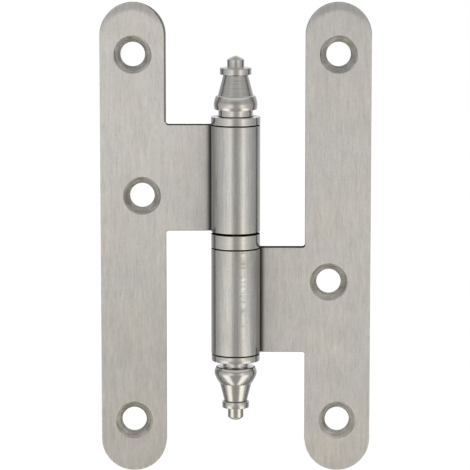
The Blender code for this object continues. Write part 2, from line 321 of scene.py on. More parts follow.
def mark_shaded_inner(bm, hidden):
    """Gives the faces inside the joints, and those of the dark lines, the second material."""
    bm.normal_update()
    for face in bm.faces:
        face.material_index = int(hidden(face.calc_center_median(), face.normal))


def loose_object(bm, name):
    mesh = bpy.data.meshes.new(name)
    bm.to_mesh(mesh)
    bm.free()
    obj = bpy.data.objects.new(name, mesh)
    bpy.context.scene.collection.objects.link(obj)
    return obj


def piece(bm, name, body, stands_for, materials):
    """Makes a finished piece of a bmesh, smooth but for its sharp edges, and puts it on its body."""
    obj = loose_object(bm, name)
    mesh = obj.data
    mesh.shade_smooth()
    mesh.set_sharp_from_angle(angle=SHARP_ANGLE)
    for material in materials:
        mesh.materials.append(steel(material))
    flats = obj.modifiers.new("flat faces stay flat", "WEIGHTED_NORMAL")
    flats.keep_sharp = True
    flats.weight = FLAT_FACE_WEIGHT
    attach(obj, body)
    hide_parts(stands_for)


class LeafPlan:
    """Places that the leaf's sizes give."""

    def __init__(self, sizes, holes):
        self.inner = sizes.reach - sizes.blade_width
        self.centre = sizes.reach - sizes.blade_width / 2
        self.half = sizes.height / 2
        self.end_radius = sizes.blade_width / 2
        self.tab_top = -sizes.knuckle_spacing / 2
        self.tab_bottom = self.tab_top - sizes.knuckle_height
        roll_radius = sizes.knuckle_radius - sizes.sheet / 2
        middle = sizes.setback + sizes.sheet / 2
        bend = sizes.joggle_radius
        across = math.sqrt((roll_radius + bend) ** 2 - (middle + bend) ** 2)
        self.joggle_centre = Vector((across, middle + bend, 0))
        self.joggle_angle = math.atan2(across, middle + bend)
        self.free_end_angle = math.asin((sizes.setback - sizes.seam_gap) / sizes.knuckle_radius)
        self.roll_angle = math.radians(270) + self.joggle_angle + self.free_end_angle
        end_hole = self.half - holes.end_inset
        self.holes = (
            (self.centre, end_hole),
            (self.centre - holes.middle_offset, self.tab_top - holes.middle_inset),
            (self.centre, -end_hole),
        )

    def from_edge(self, point):
        """How far inside the blade's outline a point is, and how much the outline there looks along +X."""
        past = max(abs(point.z) - self.half + self.end_radius, 0)
        off_middle = math.hypot(point.x - self.centre, past)
        return self.end_radius - off_middle, (point.x - self.centre) / max(off_middle, MERGE_DISTANCE)


def flat_blank(sizes, plan):
    """The stamped outline as one face: a round-ended blade with the tab at its side."""
    corners = [
        (plan.joggle_centre.x, plan.tab_top),
        (plan.joggle_centre.x, plan.tab_bottom),
        (plan.inner, plan.tab_bottom),
        (plan.inner, -plan.half),
        (sizes.reach, -plan.half),
        (sizes.reach, plan.half),
        (plan.inner, plan.half),
        (plan.inner, plan.tab_top),
    ]
    bm = bmesh.new()
    verts = [bm.verts.new((x, sizes.setback, z)) for x, z in corners]
    bm.faces.new(verts)
    bevelled(bm, "VERTICES", [verts[2], verts[7]], sizes.fillet, FILLET_SEGMENTS)
    ends = [vert for vert in bm.verts if abs(vert.co.z) > plan.half - MERGE_DISTANCE]
    bevelled(bm, "VERTICES", ends, plan.end_radius, CORNER_SEGMENTS)
    bmesh.ops.remove_doubles(bm, verts=bm.verts, dist=MERGE_DISTANCE)
    return bm


def bevelled(bm, affect, geom, radius, segments):
    """Rounds corners of a flat outline or edges of a solid."""
    bmesh.ops.bevel(
        bm,
        geom=geom,
        affect=affect,
        offset=radius,
        offset_type="OFFSET",
        segments=segments,
        profile=0.5,
        material=-1,
    )


def carry_end(bm, end_face, centre, turn, steps):
    """Carries the sheet's end round an upright axis, and gives the new end face."""
    swept = bmesh.ops.spin(
        bm, geom=[end_face], cent=centre, axis=(0, 0, 1), angle=turn, steps=steps, use_merge=False
    )
    bmesh.ops.delete(bm, geom=[end_face], context="FACES_ONLY")
    return next(item for item in swept["geom_last"] if isinstance(item, bmesh.types.BMFace))


def rolled_sheet(sizes, plan):
    """The blank given its thickness, with the tab's end rolled round the pin and every edge broken."""
    bm = flat_blank(sizes, plan)
    grown = bmesh.ops.extrude_face_region(bm, geom=list(bm.faces), use_keep_orig=True)
    back = [item for item in grown["geom"] if isinstance(item, bmesh.types.BMVert)]
    bmesh.ops.translate(bm, verts=back, vec=(0, sizes.sheet, 0))
    bmesh.ops.recalc_face_normals(bm, faces=bm.faces)
    tab_end = min(bm.faces, key=lambda face: face.calc_center_median().x)
    tab_end = carry_end(bm, tab_end, plan.joggle_centre, -plan.joggle_angle, JOGGLE_STEPS)
    carry_end(bm, tab_end, (0, 0, 0), plan.roll_angle, ROLL_STEPS)
    bmesh.ops.remove_doubles(bm, verts=bm.verts, dist=MERGE_DISTANCE)
    bmesh.ops.recalc_face_normals(bm, faces=bm.faces)
    sharp = [edge for edge in bm.edges if edge.calc_face_angle(0) > SHARP_ANGLE]
    bevelled(bm, "EDGES", sharp, sizes.edge, EDGE_SEGMENTS)
    return bm


def ease_round_ends(bm, sizes, plan, way_up):
    """Lets the front fall back towards the blade's round ends, and less towards the lower one."""
    bm.normal_update()
    front = max(bm.faces, key=lambda face: -face.normal.y * face.calc_area())
    for ring in BLEND_RINGS:
        bmesh.ops.inset_region(bm, faces=[front], thickness=ring * MM, use_even_offset=True)
    middle = sizes.setback + sizes.sheet / 2
    for vert in bm.verts:
        past = abs(vert.co.z) - plan.half + plan.end_radius
        if vert.co.y > middle or past < 0:
            continue
        near = max(0.0, 1 - plan.from_edge(vert.co)[0] / sizes.fall_width)
        fade = risen(past / plan.end_radius, *FALL_ALONG_END)
        depth = sizes.fall_depth if way_up * vert.co.z > 0 else sizes.lower_fall_depth
        vert.co.y += depth * fade * near**sizes.fall_power


def hole_plug(sizes, holes):
    """One countersunk hole as a solid that points along -Z into the sheet's back."""
    hole, sink = holes.diameter / 2, holes.sink_diameter / 2
    slope = math.tan(holes.sink_angle / 2)
    rim = math.tan(holes.rim_angle)
    top = holes.rim_depth + CUT_MARGIN
    profile = [
        (0, -sizes.sheet - CUT_MARGIN),
        (hole, -sizes.sheet - CUT_MARGIN),
        (hole, -(sink - hole) / slope),
        (sink - holes.rim_depth * slope, -holes.rim_depth),
        (sink - holes.rim_depth * slope + top / rim, CUT_MARGIN),
        (0, CUT_MARGIN),
    ]
    return turned(profile, HOLE_STEPS)


def drilled(bm, sizes, holes, plan):
    """The sheet with its screw holes cut, as a new bmesh."""
    out_of_face = Matrix.Rotation(math.pi / 2, 4, "X")
    plugs = bmesh.new()
    for x, z in plan.holes:
        plug = hole_plug(sizes, holes)
        plug.transform(Matrix.Translation((x, sizes.setback, z)) @ out_of_face)
        single = bpy.data.meshes.new("plug")
        plug.to_mesh(single)
        plug.free()
        plugs.from_mesh(single)
        bpy.data.meshes.remove(single)
    body = loose_object(bm, "sheet")
    cutter = loose_object(plugs, "plugs")
    cut = body.modifiers.new("screw holes", "BOOLEAN")
    cut.operation = "DIFFERENCE"
    cut.object = cutter
    result = bmesh.new()
    result.from_object(body, bpy.context.evaluated_depsgraph_get())
    for obj in (body, cutter):
        bpy.data.meshes.remove(obj.data)
    return result


def mark_sheet(bm, sizes, holes, plan, way_up, edge_shade):
    """Gives each face the material of the blade, the barrel, a cut, a countersink or a joint's inside.

    way_up is 1 for the leaf as it is planned and -1 for the leaf that is turned over. Its upper half keeps
    a dull burr along the edge that looks towards +X.
    """
    bm.normal_update()
    skin = sizes.knuckle_radius - SKIN_EDGES * sizes.edge
    hole_zone = holes.sink_diameter * HOLE_ZONE
    for face in bm.faces:
        middle, normal = face.calc_center_median(), face.normal
        radius = math.hypot(middle.x, middle.y)
        in_hole = any(math.hypot(middle.x - x, middle.z - z) < hole_zone for x, z in plan.holes)
        inside, sideways = plan.from_edge(middle)
        edge_shade_here = edge_shade * risen(way_up * sideways, *EDGE_SHADE_SIDEWAYS)
        edge_shaded = inside < edge_shade_here and way_up * middle.z > plan.half / 2
        # Painted shade: the roll's inside and the knuckle's end faces take the near-black inner faces
        if radius < skin or (radius < sizes.knuckle_radius and abs(normal.z) > END_FACE_UP):
            face.material_index = INNER_SHADE
        elif radius < sizes.knuckle_radius + MERGE_DISTANCE:
            face.material_index = BARREL
        elif in_hole:
            face.material_index = SINK if abs(normal.y) < SINK_WALL_OUT else BLADE
        # Painted shadow: the tab's top and bottom edges take the near-black of the inner faces
        elif middle.x < plan.inner and abs(normal.z) > TAB_EDGE_UP:
            face.material_index = INNER_SHADE
        # Cut faces, and the painted shadow line along the +X edge, take the sheared edge's colour
        elif abs(normal.y) < CUT_WALL_OUT or edge_shaded and middle.x > plan.inner - sizes.edge:
            face.material_index = CUT_EDGE
        else:
            face.material_index = BLADE


def set_inputs(node, values):
    for name, value in values.items():
        node.inputs[name].default_value = value


def add(tree, kind, inputs=None, **settings):
    """A new node with its settings and the values of its unlinked inputs."""
    node = tree.nodes.new(kind)
    for name, value in settings.items():
        setattr(node, name, value)
    set_inputs(node, inputs or {})
    return node


def fill(tree, socket, term):
    """Gives a socket its term, which is another node's output or else a value."""
    if isinstance(term, bpy.types.NodeSocket):
        tree.links.new(term, socket)
    else:
        socket.default_value = term


def maths(tree, operation, *terms):
    """A Math node's result."""
    node = add(tree, "ShaderNodeMath", operation=operation)
    for socket, term in zip(node.inputs, terms):
        fill(tree, socket, term)
    return node.outputs[0]


def split(tree, vector):
    """A vector's X, Y and Z."""
    node = add(tree, "ShaderNodeSeparateXYZ")
    tree.links.new(vector, node.inputs[0])
    return node.outputs


def stretched(tree, vector, factors):
    """A vector or a colour with each of its parts multiplied by its own factor."""
    node = add(tree, "ShaderNodeVectorMath", operation="MULTIPLY")
    fill(tree, node.inputs[0], vector)
    fill(tree, node.inputs[1], factors)
    return node.outputs[0]


def scaled(tree, vector, factor):
    """A vector or a colour with all its parts multiplied by the same factor."""
    node = add(tree, "ShaderNodeVectorMath", operation="SCALE")
    fill(tree, node.inputs[0], vector)
    fill(tree, node.inputs["Scale"], factor)
    return node.outputs[0]


def eased(tree, value, first, last, low=0.0, high=1.0, curve="SMOOTHSTEP"):
    """Goes softly from the low result at the first value to the high one at the last."""
    ends = {"From Min": first, "From Max": last, "To Min": low, "To Max": high}
    node = add(tree, "ShaderNodeMapRange", ends, interpolation_type=curve)
    tree.links.new(value, node.inputs["Value"])
    return node.outputs[0]


def noise(tree, vector, scale=1.0, detail=1.0, roughness=0.5):
    """Noise that swings evenly to both sides of nought."""
    node = add(tree, "ShaderNodeTexNoise", {"Scale": scale, "Detail": detail, "Roughness": roughness})
    tree.links.new(vector, node.inputs["Vector"])
    return maths(tree, "MULTIPLY_ADD", node.outputs["Fac"], 2.0, -1.0)


def grain_group():
    """The marks that a tool leaves in steel, with soft clouds and a faint change of tint over them."""
    name = "Steel marks"
    if name in bpy.data.node_groups:
        return bpy.data.node_groups[name]
    tree = bpy.data.node_groups.new(name, "ShaderNodeTree")
    sockets = (
        ("INPUT", "Vector", "Vector"),
        ("INPUT", "Marks", "Vector"),
        ("INPUT", "Colour", "Color"),
        ("INPUT", "Contrast", "Float"),
        ("INPUT", "Clouds", "Float"),
        ("INPUT", "Roughness", "Float"),
        ("INPUT", "Spread", "Float"),
        ("OUTPUT", "Colour", "Color"),
        ("OUTPUT", "Roughness", "Float"),
        ("OUTPUT", "Height", "Float"),
    )
    for side, label, kind in sockets:
        tree.interface.new_socket(label, in_out=side, socket_type="NodeSocket" + kind)
    given, result = add(tree, "NodeGroupInput"), add(tree, "NodeGroupOutput")
    link = tree.links.new
    place = given.outputs["Vector"]
    worked = stretched(tree, place, given.outputs["Marks"])
    fine = noise(tree, worked, detail=3.0, roughness=0.7)
    broad = noise(tree, worked, BROAD_SCALE)
    marks = maths(tree, "MULTIPLY_ADD", broad, BROAD_SHARE, fine)
    clouds = noise(tree, place, CLOUD_SCALE, detail=3.0, roughness=0.6)
    specks = noise(tree, place, SPECK_SCALE)
    tone = maths(tree, "MULTIPLY_ADD", specks, SPECK_SHARE, marks)
    tone = maths(tree, "MULTIPLY_ADD", tone, given.outputs["Contrast"], 1.0)
    tone = maths(tree, "MULTIPLY_ADD", clouds, given.outputs["Clouds"], tone)
    warm = noise(tree, place, TINT_SCALE, detail=2.0)
    tints = add(tree, "ShaderNodeCombineXYZ", {"Y": 1.0})
    link(maths(tree, "MULTIPLY_ADD", warm, TINT_RED, 1.0), tints.inputs["X"])
    link(maths(tree, "MULTIPLY_ADD", warm, TINT_BLUE, 1.0), tints.inputs["Z"])
    toned = scaled(tree, given.outputs["Colour"], tone)
    link(stretched(tree, toned, tints.outputs[0]), result.inputs["Colour"])
    rough = maths(tree, "MULTIPLY_ADD", marks, given.outputs["Spread"], given.outputs["Roughness"])
    link(rough, result.inputs["Roughness"])
    link(marks, result.inputs["Height"])
    return tree


class Working(NamedTuple):
    """How a steel surface was worked, and what that does to its look."""

    finish: str  # the start of its names in Finishes
    marks: tuple  # marks to the metre along X, Y and Z
    contrast: float
    clouds: float
    spread: float
    relief: float  # height of the marks
    anisotropy: float
    smear: str  # what a highlight spreads along: "across" the sheet, "axis" of the pin or "none"
    grazing: float  # reflection near grazing, 1 on clean steel


WORKINGS = {
    "Satin blade": Working("blade", (2600, 2600, 260), 0.24, 0.10, 0.1, 6e-6, 0.9, "across", 1.0),
    "Rolled barrel": Working("barrel", (2300, 2300, 120), 0.25, 0.10, 0.08, 4e-6, 0.0, "none", 1.0),
    "Turned steel": Working("turned", (150, 150, 3200), 0.16, 0.08, 0.06, 3e-6, 0.3, "axis", 1.0),
    "Sheared edge": Working("edge", (2400, 300, 2400), 0.30, 0.15, 0.1, 8e-6, 0.0, "none", 0.35),
    "Countersink": Working("sink", (260, 3000, 260), 0.8, 0.15, 0.14, 3e-5, 0.0, "none", 0.8),
    # The inner faces: near-black with little grazing reflection, as painted shade
    "Shaded inner face": Working("inner", (900, 900, 900), 0.2, 0.1, 0.1, 2e-6, 0.0, "none", 0.1),
}

# Noise in every steel: patches to the metre, and how much of each shows
BROAD_SCALE = 0.31  # to one fine mark
SPECK_SCALE = 2100.0
CLOUD_SCALE = 130.0
TINT_SCALE = 60.0
BROAD_SHARE = 0.45  # of the broad marks in the marks, against the fine ones
SPECK_SHARE = 0.35  # of the even specks in the tone, against the marks
TINT_RED = 0.035
TINT_BLUE = -0.045

# Rolling leaves faint waves along the barrel: how many to the metre along X, Y and Z, and their height
RIPPLES = (450.0, 450.0, 900.0)
RIPPLE_HEIGHT = 6e-6
RIPPLE_PATCHES = 170.0  # to the metre, in which they are stronger or weaker
RIPPLE_MEAN = 0.6  # of their height, between strong and weak

# Painted glints and dark dashes in the highlight down the front of the lower barrel, standing for chatter
# marks: to the metre across and along it, and how much they show
CHATTER_GLINTS = (350.0, 350.0, 1250.0)
GLINT_GAIN = 0.75
GLINT_STRIPE = (2.1 * MM, 1.3 * MM)  # its middle's distance from the axis, and half its width
GLINT_ENDS = (-32.0 * MM, -12.0 * MM)  # heights where it fades out and is full

# Painted shade where the sheet and its barrel shade each other: where it is darkest, where it ends, and
# the colour's share when darkest
BEND_SHADE = (7.4 * MM, 9.1 * MM, 0.16)  # off the pin's axis, on the blade
TAB_SHADE = (8.5 * MM, 18.0 * MM, 0.94)  # the same, wider and fainter
SIDE_SHADE = (-7.0 * MM, -5.2 * MM, 0.5)  # sideways from the axis, on the barrel

# Painted light and shade: the door leaf's blade is darker towards its lower end and lighter towards its
# upper: two heights and the shares of the colour there
DOOR_SHADE_LOW = (-40.0 * MM, 0.89)
DOOR_LIGHT_HIGH = (45.0 * MM, 1.04)
FRAME_BLADE_SHARE = 0.965  # the frame leaf's share


def steel(name):
    """Bare steel with the marks of its working, made once."""
    if name in bpy.data.materials:
        return bpy.data.materials[name]
    worked = WORKINGS[name]
    look = bpy.context.scene.hinge_finishes
    material = bpy.data.materials.new(name)
    material.use_nodes = True
    tree = material.node_tree
    link = tree.links.new
    shader = tree.nodes["Principled BSDF"]
    tint = (worked.grazing, worked.grazing, worked.grazing, 1.0)
    set_inputs(shader, {"Metallic": 1.0, "Anisotropic": worked.anisotropy, "Specular Tint": tint})
    place = add(tree, "ShaderNodeTexCoord").outputs["Object"]
    given = {
        "Marks": worked.marks,
        "Colour": (*getattr(look, worked.finish + "_colour"), 1.0),
        "Contrast": worked.contrast,
        "Clouds": worked.clouds,
        "Roughness": getattr(look, worked.finish + "_roughness"),
        "Spread": worked.spread,
    }
    marks = add(tree, "ShaderNodeGroup", given, node_tree=grain_group())
    link(place, marks.inputs["Vector"])
    surface = marks.outputs["Colour"]
    if name == "Satin blade":
        # Painted shade where the barrel shades the sheet beside the bend
        surface = shaded_bend(tree, place, surface)
        # Painted light and shade down the door leaf's blade
        surface = lit_and_shaded_door(tree, place, surface)
    elif name == "Rolled barrel":
        # Painted shade on the barrel beside its own sheet
        surface = shaded_side(tree, place, surface)
        # Painted sparkle in the barrel's highlight, for chatter marks
        surface = painted_glints(tree, place, surface)
    link(surface, shader.inputs["Base Color"])
    link(marks.outputs["Roughness"], shader.inputs["Roughness"])
    bump = add(tree, "ShaderNodeBump", {"Distance": worked.relief})
    link(marks.outputs["Height"], bump.inputs["Height"])
    if name == "Rolled barrel":
        link(rippled(tree, place), bump.inputs["Normal"])
    link(bump.outputs["Normal"], shader.inputs["Normal"])
    if worked.smear == "across":
        smear_across(tree, shader)
    elif worked.smear == "axis":
        smear_along_axis(tree, shader)
    return material


def rippled(tree, place):
    """Faint waves along the pin's axis, stronger in some places than in others."""
    waves = add(tree, "ShaderNodeTexNoise", {"Scale": 1.0, "Detail": 0.0})
    tree.links.new(stretched(tree, place, RIPPLES), waves.inputs["Vector"])
    strength = maths(tree, "ADD", noise(tree, place, RIPPLE_PATCHES), RIPPLE_MEAN)
    height = maths(tree, "MULTIPLY", waves.outputs["Fac"], strength)
    bump = add(tree, "ShaderNodeBump", {"Distance": RIPPLE_HEIGHT})
    tree.links.new(height, bump.inputs["Height"])
    return bump.outputs["Normal"]


def painted_glints(tree, place, surface):
    """Lightens and darkens short dashes in a narrow stripe down the front of the lower barrel."""
    x, y, z = split(tree, place)
    middle, half_width = GLINT_STRIPE
    off_middle = maths(tree, "ABSOLUTE", maths(tree, "SUBTRACT", x, middle))
    masks = (
        eased(tree, off_middle, half_width, 0.0),
        eased(tree, z, *GLINT_ENDS),
        maths(tree, "LESS_THAN", z, 0.0),
        maths(tree, "LESS_THAN", y, 0.0),
    )
    gain = noise(tree, stretched(tree, place, CHATTER_GLINTS))
    for mask in masks:
        gain = maths(tree, "MULTIPLY", gain, mask)
    return scaled(tree, surface, maths(tree, "MULTIPLY_ADD", gain, GLINT_GAIN, 1.0))


def lit_and_shaded_door(tree, place, surface):
    """Darkens the door leaf, which lies towards -X when the hinge is open flat, towards its lower end."""
    x, _, z = split(tree, place)
    # dull and bright are the colour's shares in the painted shade below and the painted light above
    (low, dull), (high, bright) = DOOR_SHADE_LOW, DOOR_LIGHT_HIGH
    on_door = maths(tree, "LESS_THAN", x, 0.0)
    change = maths(tree, "SUBTRACT", eased(tree, z, low, high, dull, bright), FRAME_BLADE_SHARE)
    return scaled(tree, surface, maths(tree, "MULTIPLY_ADD", change, on_door, FRAME_BLADE_SHARE))


def shaded_bend(tree, place, surface):
    """Darkens the sheet where it bends back beside the barrel."""
    off_axis = add(tree, "ShaderNodeVectorMath", operation="LENGTH")
    tree.links.new(stretched(tree, place, (1.0, 1.0, 0.0)), off_axis.inputs[0])
    surface = painted_shade(tree, surface, off_axis.outputs["Value"], *TAB_SHADE)
    return painted_shade(tree, surface, off_axis.outputs["Value"], *BEND_SHADE)


def shaded_side(tree, place, surface):
    """Darkens each barrel on the side that its own sheet comes from: +X below the ring and -X above it."""
    x, _, z = split(tree, place)
    return painted_shade(tree, surface, maths(tree, "MULTIPLY", x, maths(tree, "SIGN", z)), *SIDE_SHADE)


def painted_shade(tree, surface, position, darkest, unshaded_from, lowest):
    """The surface's colour, brought down to its lowest share at one position and whole from another on."""
    return scaled(tree, surface, eased(tree, position, darkest, unshaded_from, lowest, curve="SMOOTHERSTEP"))


def smear_across(tree, shader):
    """Upright scratch lines spread a highlight along the sheet's X."""
    across = add(tree, "ShaderNodeCombineXYZ", {"X": 1.0})
    with_piece = add(tree, "ShaderNodeVectorTransform", convert_from="OBJECT", convert_to="WORLD")
    tree.links.new(across.outputs[0], with_piece.inputs[0])
    tree.links.new(with_piece.outputs[0], shader.inputs["Tangent"])


def smear_along_axis(tree, shader):
    """Lines that run round the axis spread a highlight along it, a quarter turn from themselves."""
    round_axis = add(tree, "ShaderNodeTangent", direction_type="RADIAL", axis="Z")
    tree.links.new(round_axis.outputs[0], shader.inputs["Tangent"])
    shader.inputs["Anisotropic Rotation"].default_value = 0.25


class HINGE_OT_leaves(bpy.types.Operator):
    """Model both leaves: a stamped blade and tab, rolled round the pin, with countersunk holes"""

    bl_idname = "hinge.leaves"
    bl_label = "Leaves"

    def execute(self, context):
        sizes, holes = context.scene.hinge_leaf, context.scene.hinge_holes
        plan = LeafPlan(sizes, holes)
        rows = (
            ("frame_leaf_sheet", "frame_leaf", "frame_side", 1, sizes.frame_edge_shade, Matrix()),
            ("door_leaf_sheet", "door_leaf", "door_side", -1, sizes.door_edge_shade, TURNED_OVER),
        )
        for name, node, body, way_up, edge_shade, turn in rows:
            bm = rolled_sheet(sizes, plan)
            ease_round_ends(bm, sizes, plan, way_up)
            bm = drilled(bm, sizes, holes, plan)
            mark_sheet(bm, sizes, holes, plan, way_up, edge_shade)
            bm.transform(turn)
            piece(bm, name, body, node, LEAF_MATERIALS)
        return {"FINISHED"}


class HINGE_OT_core(bpy.types.Operator):
    """Model the pin and the wear ring"""

    bl_idname = "hinge.core"
    bl_label = "Pin and ring"

    def execute(self, context):
        sizes = context.scene.hinge_core
        radius, chamfer = PIN_HIGH.x, sizes.pin_chamfer
        profile = [
            (0, PIN_LOW.z),
            (radius - chamfer, PIN_LOW.z),
            (radius, PIN_LOW.z + chamfer),
            (radius, PIN_HIGH.z - chamfer),
            (radius - chamfer, PIN_HIGH.z),
            (0, PIN_HIGH.z),
        ]
        piece(turned(profile), "round_pin", "frame_side", "hinge_pin", ("Turned steel",))
        bore = radius + sizes.bore_clearance
        section = [
            (bore, RING_LOW.z),
            (RING_HIGH.x, RING_LOW.z),
            (RING_HIGH.x, RING_HIGH.z),
            (bore, RING_HIGH.z),
        ]
        ring = turned(rounded(section, sizes.ring_edge))
        skin = RING_HIGH.x - SKIN_EDGES * sizes.ring_edge

        # Painted shade: the ring's bore and end faces, inside the joints, take the near-black
        def hidden(middle, normal):
            return math.hypot(middle.x, middle.y) < skin or abs(normal.z) > END_FACE_UP

        mark_shaded_inner(ring, hidden)
        piece(ring, "turned_ring", "ring_side", "wear_ring", ("Turned steel", "Shaded inner face"))
        return {"FINISHED"}


def finial_profile(sizes, spigot):
    """(radius, height) points of a finial whose disc starts at height 0, its spigot included."""
    disc_end = sizes.disc_length
    neck_end = disc_end + sizes.neck_length
    shoulder_end = neck_end + sizes.shoulder_length
    bulge_end = shoulder_end + sizes.bulge_length
    cone_end = bulge_end + sizes.cone_length
    collar_end = cone_end + sizes.collar_length
    knob_end = collar_end + sizes.knob_length
    tip = knob_end + sizes.dome_length
    spigot_end = -sizes.seat_gap - sizes.spigot_length
    shoulder = (sizes.shoulder_radius, neck_end)
    widest = (sizes.bulge_radius, shoulder_end)
    outside = [
        (spigot, 0),
        (sizes.disc_radius, 0),
        (sizes.disc_radius, disc_end),
        (sizes.neck_radius, disc_end),
        (sizes.neck_radius, neck_end),
        *bowed(shoulder, widest, sizes.shoulder_bow),
        *bowed(widest, (sizes.bulge_end_radius, bulge_end), sizes.bulge_bow)[1:],
        (sizes.cone_start_radius, bulge_end),
        (sizes.cone_end_radius, cone_end),
        (sizes.collar_radius, cone_end),
        (sizes.collar_radius, collar_end),
        (sizes.knob_radius, collar_end),
        *bowed((sizes.knob_radius, knob_end), (0, tip), sizes.dome_bow),
    ]
    return [
        (0, spigot_end),
        (spigot - sizes.spigot_chamfer, spigot_end),
        (spigot, spigot_end + sizes.spigot_chamfer),
        *rounded(outside, sizes.edge),
    ]


def finial(sizes, dark):
    """A turned finial, in which polishing has left a dark line in the corners that dark names."""
    neck_end = sizes.disc_length + sizes.neck_length
    cone_end = neck_end + sizes.shoulder_length + sizes.bulge_length + sizes.cone_length
    corners = {
        "disc": (sizes.neck_radius, sizes.disc_length),
        "bulge": (sizes.shoulder_radius, neck_end),
        "collar": (sizes.cone_end_radius, cone_end),
    }
    seams = [corners[name] for name in dark]
    bm = turned(finial_profile(sizes, PIN_HIGH.x))

    # Painted shade: the corner seams and the disc's underside, inside the joint, take the near-black
    def hidden(middle, normal):
        radius = math.hypot(middle.x, middle.y)
        in_seam = any(math.hypot(radius - x, middle.z - z) < sizes.edge for x, z in seams)
        return in_seam or (middle.z < sizes.edge and normal.z < DISC_UNDERSIDE)

    mark_shaded_inner(bm, hidden)
    return bm


class HINGE_OT_finials(bpy.types.Operator):
    """Model the two turned finials, one above and one below the knuckles"""

    bl_idname = "hinge.finials"
    bl_label = "Finials"

    def execute(self, context):
        scene = context.scene
        leaf, upper, lower = scene.hinge_leaf, scene.hinge_upper_finial, scene.hinge_lower_finial
        knuckle_end = leaf.knuckle_spacing / 2 + leaf.knuckle_height
        dark = ("disc", "collar")
        rows = (
            ("turned_upper_finial", "upper_finial", "door_side", upper, dark, Matrix()),
            ("turned_lower_finial", "lower_finial", "frame_side", lower, (*dark, "bulge"), TURNED_OVER),
        )
        for name, node, body, sizes, corners, turn in rows:
            bm = finial(sizes, corners)
            bm.transform(turn @ Matrix.Translation((0, 0, knuckle_end + sizes.seat_gap)))
            piece(bm, name, body, node, ("Turned steel", "Shaded inner face"))
        return {"FINISHED"}


# What the steel sees of the light tent. First the tones level with the hinge and below, and then those
# above it: degrees round from the camera's side towards +X, the tone there and its warmth.
LOW_TONES = (
    (-180, 0.60, 0.0),
    (-150, 0.45, 0.0),
    (-122, 0.22, 0.0),
    (-96, 0.34, 0.5),
    (-84, 0.50, 0.5),
    (-72, 1.15, 1.0),
    (-55, 1.38, 1.5),
    (-39, 1.15, 1.5),
    (-28, 0.42, 1.5),
    (0, 0.35, 1.5),
    (28, 0.42, 1.5),
    (39, 1.15, 1.5),
    (55, 1.42, 1.5),
    (72, 1.15, 1.0),
    (84, 0.50, 0.5),
    (96, 0.34, 0.5),
    (122, 0.22, 0.0),
    (150, 0.45, 0.0),
    (180, 0.60, 0.0),
)
LEVEL_TONES = (
    (-180, 0.70, -0.5),
    (-160, 0.50, 0.0),
    (-140, 0.36, 0.0),
    (-120, 0.18, 0.0),
    (-106, 0.38, 0.0),
    (-88, 0.52, 0.0),
    (-60, 0.66, 0.0),
    (-40, 0.86, 0.5),
    (-27, 1.04, 1.0),
    (-17, 0.80, 0.5),
    (-7, 0.42, 0.5),
    (9, 0.41, 0.5),
    (22, 0.64, 0.5),
    (35, 1.14, 1.0),
    (48, 0.80, 0.5),
    (66, 0.58, 0.0),
    (94, 0.42, 0.0),
    (107, 0.19, 0.0),
    (116, 0.18, 0.0),
    (132, 0.46, 0.0),
    (160, 0.60, 0.0),
    (180, 0.70, -0.5),
)
UPPER_TONES = (
    (-180, 0.72, -1.5),
    (-150, 0.50, 0.0),
    (-125, 0.40, 0.0),
    (-102, 0.20, 0.0),
    (-84, 0.44, 0.0),
    (-56, 0.44, 0.0),
    (-36, 0.53, 0.0),
    (-10, 0.35, 0.5),
    (10, 0.35, 0.5),
    (38, 0.51, 0.0),
    (58, 0.43, 0.0),
    (84, 0.42, 0.0),
    (100, 0.19, 0.0),
    (125, 0.42, 0.0),
    (150, 0.50, 0.0),
    (180, 0.72, -1.5),
)
# Degrees above the horizon, the tone there, its warmth, and how far it covers the tones above
HEIGHT_TONES = (
    (-90, 0.42, 1.5, 1.0),
    (-84, 0.42, 1.5, 1.0),
    (-75, 0.50, 1.5, 0.0),
    (26, 0.75, 0.0, 0.0),
    (35, 0.80, 0.0, 1.0),
    (46, 0.66, 0.0, 1.0),
    (58, 0.50, 0.0, 1.0),
    (90, 0.42, 0.0, 1.0),
)

# One step of warmth adds this share of red and takes this share of blue
WARM_RED = 0.03
WARM_BLUE = 0.06

# The angles above the horizon between which one set of tones passes into the next
LOW_TO_LEVEL = (math.radians(-22), math.radians(-10))
LEVEL_TO_UPPER = (math.radians(5), math.radians(14))


def tone_ramp(tree, position, stops, span):
    """A ramp over an angle that runs through the whole of its span of degrees, from minus half to half."""
    ramp = add(tree, "ShaderNodeValToRGB")
    elements = ramp.color_ramp.elements
    for _ in range(len(stops) - 2):
        elements.new(0.5)
    for element, (degrees, tone, warmth, *cover) in zip(elements, stops):
        red, blue = tone * (1 + WARM_RED * warmth), tone * (1 - WARM_BLUE * warmth)
        element.position = degrees / span + 0.5
        element.color = (red, tone, blue, cover[0] if cover else 1.0)
    along = maths(tree, "MULTIPLY_ADD", position, 1 / math.radians(span), 0.5)
    tree.links.new(along, ramp.inputs[0])
    return ramp.outputs


def mixed(tree, factor, first, second):
    """The colour between two others, which a Mix node takes in its sockets 6 and 7."""
    node = add(tree, "ShaderNodeMix", data_type="RGBA")
    tree.links.new(factor, node.inputs[0])
    tree.links.new(first, node.inputs[6])
    tree.links.new(second, node.inputs[7])
    return node.outputs[2]


